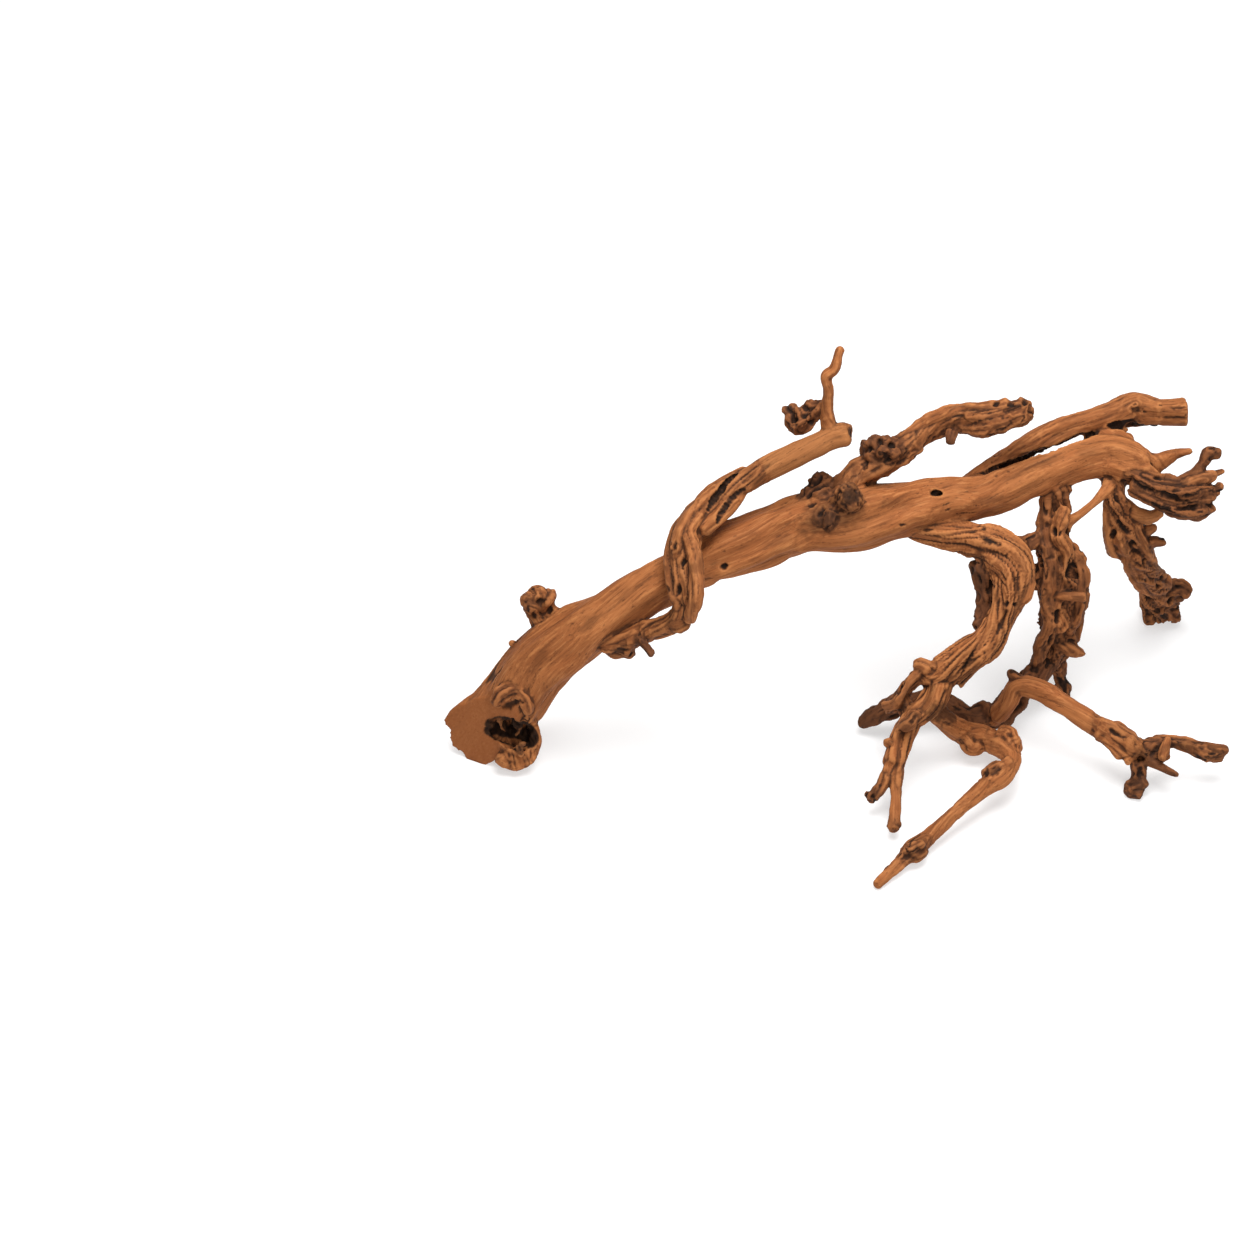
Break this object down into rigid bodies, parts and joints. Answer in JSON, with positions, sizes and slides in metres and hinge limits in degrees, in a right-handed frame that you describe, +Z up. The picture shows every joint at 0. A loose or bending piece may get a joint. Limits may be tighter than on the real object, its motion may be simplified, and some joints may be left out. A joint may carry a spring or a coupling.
{
  "type": "grapevine wood",
  "caption": "Sandblasted piece of old grapevine: an arched trunk with twining and gnarled branches that carry its far end, for display or as a perch.",
  "frame": {"origin": "centre of the bounding box's footprint, on the surface that the piece stands on", "axes": "+X along the trunk from its sawn butt to its forked end, +Y away from the viewer, +Z up"},
  "size_m": [0.7921, 0.4612, 0.3904],
  "materials": {
    "grapevine_wood": "bare sandblasted wood, matt, with open grain"
  },
  "bodies": {
    "root": {"trunk": "grapevine_wood", "twining_branch": "grapevine_wood", "upright_twig": "grapevine_wood", "back_branch": "grapevine_wood", "claw": "grapevine_wood", "drooping_branch": "grapevine_wood", "gnarled_leg": "grapevine_wood", "low_root": "grapevine_wood", "low_right_branch": "grapevine_wood", "front_limb": "grapevine_wood", "front_leg": "grapevine_wood", "low_front_branch": "grapevine_wood"}
  },
  "joints": []
}
